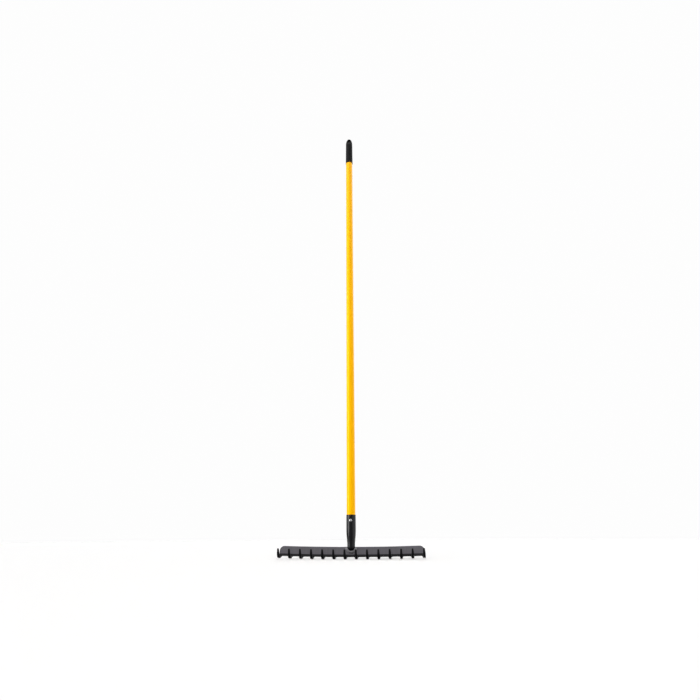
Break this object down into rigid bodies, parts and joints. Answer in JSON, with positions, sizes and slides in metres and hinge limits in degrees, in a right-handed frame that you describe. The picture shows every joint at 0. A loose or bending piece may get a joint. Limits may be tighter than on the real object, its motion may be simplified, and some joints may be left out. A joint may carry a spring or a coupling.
{
  "type": "level-head garden rake",
  "caption": "Level-head garden rake: a pressed-steel toothed head on a swaged socket, a long coated tube handle and a moulded end grip with a hang hole.",
  "frame": {"origin": "centre of the hang hole in the grip's eye, on the handle's axis", "axes": "+Z along the handle from the head to the grip's end, -Y the way the teeth point, +X along the head"},
  "size_m": [0.406, 0.0511, 1.568],
  "materials": {
    "grip_plastic": "moulded, fine satin grain",
    "tube_coating": "gloss yellow powder coat",
    "socket_coating": "gloss black enamel",
    "head_coating": "satin charcoal powder coat",
    "rivet_aluminium": "bright",
    "mandrel_steel": "broken stub, dull"
  },
  "bodies": {
    "root": {"hand_grip": "grip_plastic", "handle_tube": "tube_coating", "socket": "socket_coating", "rake_head": "head_coating", "front_weld": "head_coating", "rear_weld": "head_coating", "rivet_body": "rivet_aluminium", "rivet_mandrel": "mandrel_steel"}
  },
  "joints": []
}
